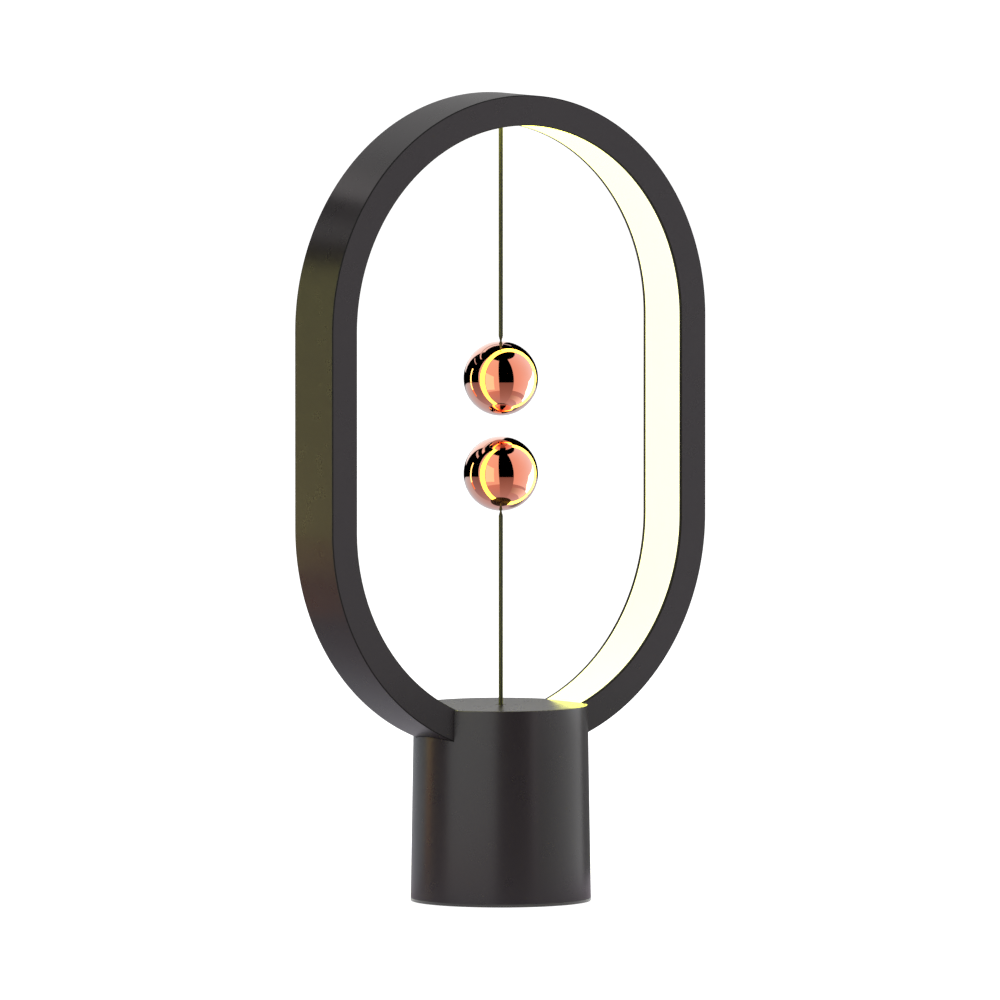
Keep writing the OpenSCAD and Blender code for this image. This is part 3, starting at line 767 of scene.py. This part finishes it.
class LAMP_OT_lid(bpy.types.Operator):
    """Make the lid: a disc with two notches for the frame, an eyelet hole and four posts below"""

    bl_idname = "lamp.lid"
    bl_label = "Lid"

    def execute(self, context):
        sizes = context.scene.lamp_sizes
        top, lid_z = high("base_lid").z, high("base_lid").z - sizes.lid_thickness
        radius = sizes.lid_radius
        gap, hole = 0.1 * MM, 1.65 * MM
        post_bore, post_radius, post_inset = 1.3 * MM, 2.5 * MM, 5.2 * MM
        post_foot, post_top = 50.2 * MM, 59.0 * MM
        post_at = radius + gap + sizes.lid_rim - sizes.base_wall - post_inset
        outline = rounded(
            [(radius, lid_z), (radius, top), (hole, top), (hole, lid_z)],
            [0.2 * MM, 0.2 * MM, 0.1 * MM, 0.1 * MM])
        mesh = revolved("lid_disc", outline, 240)
        post = np.array([
            [post_bore, post_foot], [post_radius, post_foot], [post_radius, post_top], [post_bore, post_top]])
        posts = []
        for angle in (51, 129, 231, 309):
            at = (post_at * math.cos(math.radians(angle)), post_at * math.sin(math.radians(angle)))
            posts.append(revolved("post", post, 48, sharp=30.0, centre=at))
        mesh = cut_mesh(mesh, posts, "UNION")
        mesh = cut_mesh(mesh, [self.band_cutter(gap, sizes)])
        place("lid_disc", mesh, "lamp", satin_paint("lid_paint", 1.5), ["base_lid"])
        return {"FINISHED"}

    def band_cutter(self, gap, sizes):
        """The oval band of the frame, with a gap all round."""
        half = sizes.frame_depth / 2 + gap
        outer, inner = sizes.frame_radius + gap, sizes.frame_radius - sizes.frame_band - gap
        outline = np.array([[outer, -half], [inner, -half], [inner, half], [outer, half]])
        return oval_swept("band_cutter", outline, oval_line(sizes, 90, 4), sharp=30.0)


class LAMP_OT_packed(bpy.types.Operator):
    """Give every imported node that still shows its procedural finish"""

    bl_idname = "lamp.packed"
    bl_label = "Inner pieces"

    def execute(self, context):
        slots = {row["node"]: row["material_slot"] for row in frame["record"]["subparts"]}
        for name, node in frame["nodes"].items():
            if node.hide_render:
                continue
            node.data.materials.clear()
            node.data.materials.append(slot_finish(slots[name]))
        return {"FINISHED"}


class LAMP_OT_studio(bpy.types.Operator):
    """Make the floor, the world, the lamps, the reflected cards and the camera"""

    bl_idname = "lamp.studio"
    bl_label = "Studio"

    def execute(self, context):
        scene = context.scene
        studio = scene.lamp_studio
        scene.view_settings.view_transform = "Standard"
        self.world(scene, studio)
        self.floor(studio)
        self.cards(studio)
        self.lamps(studio)
        self.camera(scene, studio)
        return {"FINISHED"}

    def background(self, tree):
        """1 for camera, glossy and transmission rays, which see the background as white, and 0 for others."""
        path = tree.nodes.new("ShaderNodeLightPath")
        first = tree.nodes.new("ShaderNodeMath")
        second = tree.nodes.new("ShaderNodeMath")
        first.operation = second.operation = "MAXIMUM"
        tree.links.new(path.outputs["Is Camera Ray"], first.inputs[0])
        tree.links.new(path.outputs["Is Glossy Ray"], first.inputs[1])
        tree.links.new(first.outputs[0], second.inputs[0])
        tree.links.new(path.outputs["Is Transmission Ray"], second.inputs[1])
        return second.outputs[0]

    def world(self, scene, studio):
        """A white background, and a soft grey light for everything else."""
        world = bpy.data.worlds.new("studio_world")
        scene.world = world
        world.use_nodes = True
        tree = world.node_tree
        shade = tree.nodes.new("ShaderNodeMapRange")
        tree.links.new(self.background(tree), shade.inputs["Value"])
        shade.inputs["To Min"].default_value = studio.ambient
        shade.inputs["To Max"].default_value = 1.0
        tree.links.new(shade.outputs["Result"], tree.nodes["Background"].inputs["Strength"])
        tree.nodes["Background"].inputs["Color"].default_value = (1, 1, 1, 1)

    def floor(self, studio):
        """A white floor: it glows a little for the camera, and keeps the lamp's soft shadow."""
        half = studio.floor_size / 2
        axis = np.linspace(-half, half, 9)
        x, y = np.meshgrid(axis, axis)
        mesh = grid_mesh("studio_floor", np.stack([x, y, 0 * x - 0.02 * MM], -1))
        floor = bpy.data.objects.new("studio_floor", mesh)
        bpy.context.scene.collection.objects.link(floor)
        shader = Shader("floor_white", Base_Color=(0.85, 0.85, 0.85, 1), Roughness=1.0,
                        Specular_IOR_Level=0.0, Emission_Color=(1, 1, 1, 1))
        glow = shader.calculate("MULTIPLY", self.background(shader.tree), 0.82)
        shader.join(glow, shader.shader.inputs["Emission Strength"])
        mesh.materials.append(shader.material)

    def direction(self, studio, azimuth, elevation):
        """Unit direction at that azimuth from the camera's side, to the image's right, and elevation."""
        turn = studio.azimuth + np.radians(azimuth)
        rise = np.radians(elevation)
        return np.stack([np.sin(turn) * np.cos(rise), -np.cos(turn) * np.cos(rise), np.sin(rise)], -1)

    def card(self, studio, name, corners, glow, radius):
        """A card that only reflections see, between four corners of azimuth and elevation.

        The corners run from low left by low right and high right to high left, and glow is the light of
        all of the card, or of each corner, blended between them. The card lies on a sphere of that radius
        round the balls, or on the floor where the sphere is below it, a little higher for a nearer card.
        """
        across = np.linspace(0, 1, 91)[:, None, None]
        up = np.linspace(0, 1, 361)[None, :, None]
        angles = self.between(corners, across, up)
        rays = self.direction(studio, angles[..., 0], angles[..., 1])
        floor_z = 0.01 * (1 - radius) + 0.1 * MM
        to_floor = (studio.eye_height - floor_z) / np.maximum(-rays[..., 2], 1e-3)
        reach = np.minimum(radius, to_floor)
        points = rays * reach[..., None] + (0, 0, studio.eye_height)
        self.reflected(name, points, self.between(np.broadcast_to(np.array(glow, float), (4, 3)), across, up))

    def screen(self, studio, name, sides, low_edge, high_edge, left_glow, right_glow):
        """A card on a cone round the upright axis, between two azimuths, that only reflections see.

        Each edge is a radius and a height: equal radii give an upright drum. A cone whose tip is at a ball
        stands edge on to it, and so lights the frame without showing in the ball.
        """
        across = np.linspace(0, 1, 91)[:, None, None]
        up = np.linspace(0, 1, 33)[None, :, None]
        azimuth = (sides[0] + (sides[1] - sides[0]) * across + 0 * up)[..., 0]
        radius = low_edge[0] + (high_edge[0] - low_edge[0]) * up
        points = self.direction(studio, azimuth, 0 * azimuth) * radius
        points[..., 2] = (low_edge[1] + (high_edge[1] - low_edge[1]) * up)[..., 0]
        light = np.array(left_glow, float) * (1 - across) + np.array(right_glow, float) * across + 0 * up
        self.reflected(name, points, light)

    def between(self, corners, across, up):
        """Values at four corners, blended over a grid: low left, low right, high right, high left."""
        corners = np.array(corners, float)
        low_side = corners[0] * (1 - across) + corners[1] * across
        high_side = corners[3] * (1 - across) + corners[2] * across
        return low_side * (1 - up) + high_side * up

    def reflected(self, name, points, light):
        """Links a grid of points as a card that gives off the light at each point, to reflections only."""
        mesh = grid_mesh(name, points, merge=False)
        attribute = mesh.attributes.new("glow", "FLOAT_COLOR", "POINT")
        opaque = np.ones((*points.shape[:2], 1))
        colours = np.concatenate([light, opaque], -1)
        attribute.data.foreach_set("color", colours.astype(np.float32).reshape(-1))
        card = bpy.data.objects.new(name, mesh)
        bpy.context.scene.collection.objects.link(card)
        shader = Shader(name, Base_Color=(0, 0, 0, 1), Roughness=1.0, Specular_IOR_Level=0.0,
                        Emission_Strength=1.0)
        read = shader.node("ShaderNodeAttribute", attribute_name="glow")
        shader.join(read.outputs["Color"], shader.shader.inputs["Emission Color"])
        shader.material.cycles.emission_sampling = "NONE"
        mesh.materials.append(shader.material)
        for ray in ("camera", "diffuse", "transmission", "volume_scatter", "shadow"):
            setattr(card, "visible_" + ray, False)

    def cards(self, studio):
        """The dark tent, and the cards and screens that the mirror balls and the satin paint reflect."""
        tent = studio.tent_radius
        dim, near = (0.26, 0.20, 0.215), (0.54, 0.48, 0.54)
        pale, haze = (0.60, 0.66, 0.70), (0.55, 0.52, 0.56)
        white, bright, yellow = (1.0, 1.0, 1.0), (4, 4, 4), (3.6, 3.35, 1.3)
        for name, corners, glow, radius in (
            ("tent", [(-180, -90), (180, -90), (180, 90), (-180, 90)], (0, 0, 0), tent),
            ("floor_front", [(-112, -89.5), (112, -89.5), (112, -8), (-112, -8)],
             [near, near, dim, dim], 0.99 * tent),
            ("floor_back", [(112, -89.5), (248, -89.5), (248, -8), (112, -8)],
             [near, near, pale, haze], 0.99 * tent),
            ("glow_left", [(-72, -72), (-4, -72), (-4, -30), (-72, -37)],
             [near, near, (0.70, 0.50, 0.52), (0.80, 0.58, 0.56)], 0.98 * tent),
            ("glow_right", [(41, -72), (118, -72), (118, -37), (41, -30)],
             [near, (0.68, 0.60, 0.70), (0.65, 0.56, 0.65), (0.45, 0.34, 0.36)], 0.98 * tent),
            ("softbox_left", [(-69, -36.5), (-4, -31), (-10, 60), (-80, 64)], white, 0.97 * tent),
            ("softbox_right", [(41, -30), (124, -37), (141, 57), (40, 62)],
             [(0.93, 0.80, 0.84), (1.03, 1.10, 1.18), (1.03, 1.05, 1.12), (0.90, 0.82, 0.86)], 0.97 * tent),
            ("bright_side", [(95, -26), (133, -26), (128, 12), (96, -6)], bright, 0.96 * tent),
            ("bright_side_low", [(112, -43), (133, -43), (133, -26), (95, -26)], bright, 0.96 * tent),
            ("back_panel", [(-184, 2.5), (-148, 2.5), (-130, 52), (-184, 52)], white, 0.97 * tent),
            ("cream_patch", [(-67, -25), (-20, -25), (-21, 14), (-62, 28)], (1.6, 1.8, 1.55), 0.16),
            ("yellow_strip", [(-109, -7), (-104, -7), (-104, 18.5), (-109, 18.5)], yellow, 0.95 * tent),
            ("yellow_strip_low", [(-109, -20), (-104, -20), (-104, -6), (-109, -6)], yellow, 0.3),
            ("red_strip", [(-110, -34), (-103, -34), (-103, -7), (-110, -7)],
             (1.2, 0.45, 0.2), 0.95 * tent),
        ):
            self.card(studio, name, corners, glow, radius)
        drum_foot, drum_top = (0.1, 0.1 * MM), (0.1, 0.06)
        tip = 0.158
        dark, grey, lit = (0.2, 0.2, 0.2), (0.6, 0.59, 0.59), (0.75, 0.72, 0.72)
        for name, sides, low_edge, high_edge, left_glow, right_glow in (
            ("base_screen", (42, 117), drum_foot, drum_top, (0.45, 0.44, 0.44), (1.2, 1.2, 1.2)),
            ("base_screen_end", (117, 165), drum_foot, drum_top, dark, dark),
            ("roof_back", (-200, -132), (0.08, tip + 0.08), (0.4, tip + 0.4), (0.42, 0.42, 0.42), grey),
            ("roof_left", (-132, -96), (0.07, tip + 0.07), (0.4, tip + 0.4), grey, (1.3, 1.22, 1.22)),
            ("roof_side", (-128, -98), (0.13, tip + 0.075), (0.5, tip + 0.289), lit, lit),
        ):
            self.screen(studio, name, sides, low_edge, high_edge, left_glow, right_glow)

    def lamps(self, studio):
        """Three soft lamps: left and right of the camera, and overhead."""
        aim = Vector((0, 0, 0.125))
        for name, azimuth, elevation, distance, size, power in (
            ("lamp_left", -45, 35, 1.6, 1.2, 9.0),
            ("lamp_right", 70, 30, 1.6, 1.2, 9.0),
            ("lamp_top", 0, 88, 1.6, 1.4, 9.0),
        ):
            data = bpy.data.lights.new(name, "AREA")
            data.shape = "DISK"
            data.size = size
            data.energy = power
            lamp = bpy.data.objects.new(name, data)
            bpy.context.scene.collection.objects.link(lamp)
            toward = Vector(self.direction(studio, np.array(azimuth), np.array(elevation)))
            lamp.location = toward * distance + aim
            lamp.rotation_euler = toward.to_track_quat("Z", "Y").to_euler()
            lamp.visible_camera = False
            lamp.visible_glossy = False

    def camera(self, scene, studio):
        """A long lens from the photograph's side."""
        data = bpy.data.cameras.new("camera")
        data.sensor_width = 36.0
        data.lens = data.sensor_width * studio.distance / studio.field
        data.clip_start = 0.1
        data.clip_end = 60.0
        camera = bpy.data.objects.new("camera", data)
        scene.collection.objects.link(camera)
        back = Vector(self.direction(studio, np.array(0.0), np.array(math.degrees(studio.elevation))))
        left = Vector(self.direction(studio, np.array(-90.0), np.array(0.0)))
        aim = left * studio.aim_side + Vector((0, 0, studio.aim_height))
        camera.location = back * studio.distance + aim
        camera.rotation_euler = back.to_track_quat("Z", "Y").to_euler()
        scene.camera = camera


class LAMP_PT_panel(bpy.types.Panel):
    """Lists the lamp's sizes, finishes, studio values and operators"""

    bl_idname = "LAMP_PT_panel"
    bl_label = "Magnetic Balance Lamp"
    bl_space_type = "VIEW_3D"
    bl_region_type = "UI"
    bl_category = "Lamp"

    def draw(self, context):
        layout = self.layout
        for group in (context.scene.lamp_sizes, context.scene.lamp_finishes, context.scene.lamp_studio):
            box = layout.box()
            for name in group.__annotations__:
                box.prop(group, name)
        for operator in OPERATORS:
            layout.operator(operator.bl_idname)


OPERATORS = (LAMP_OT_frame, LAMP_OT_diffuser, LAMP_OT_balls, LAMP_OT_strings, LAMP_OT_base, LAMP_OT_lid,
             LAMP_OT_packed, LAMP_OT_studio)
GROUPS = (LampSizes, LampFinishes, StudioSettings)


def register():
    """Registers the classes and hangs the values on the scene."""
    for cls in (*GROUPS, *OPERATORS, LAMP_PT_panel):
        bpy.utils.register_class(cls)
    bpy.types.Scene.lamp_sizes = PointerProperty(type=LampSizes)
    bpy.types.Scene.lamp_finishes = PointerProperty(type=LampFinishes)
    bpy.types.Scene.lamp_studio = PointerProperty(type=StudioSettings)


def unregister():
    """Takes the values off the scene and unregisters the classes."""
    del bpy.types.Scene.lamp_studio
    del bpy.types.Scene.lamp_finishes
    del bpy.types.Scene.lamp_sizes
    for cls in reversed((*GROUPS, *OPERATORS, LAMP_PT_panel)):
        bpy.utils.unregister_class(cls)


def main():
    """Registers the add-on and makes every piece."""
    register()
    bpy.ops.lamp.frame()
    bpy.ops.lamp.diffuser()
    bpy.ops.lamp.balls()
    bpy.ops.lamp.strings()
    bpy.ops.lamp.base()
    bpy.ops.lamp.lid()
    bpy.ops.lamp.packed()
    bpy.ops.lamp.studio()


if __name__ == "__main__":
    main()
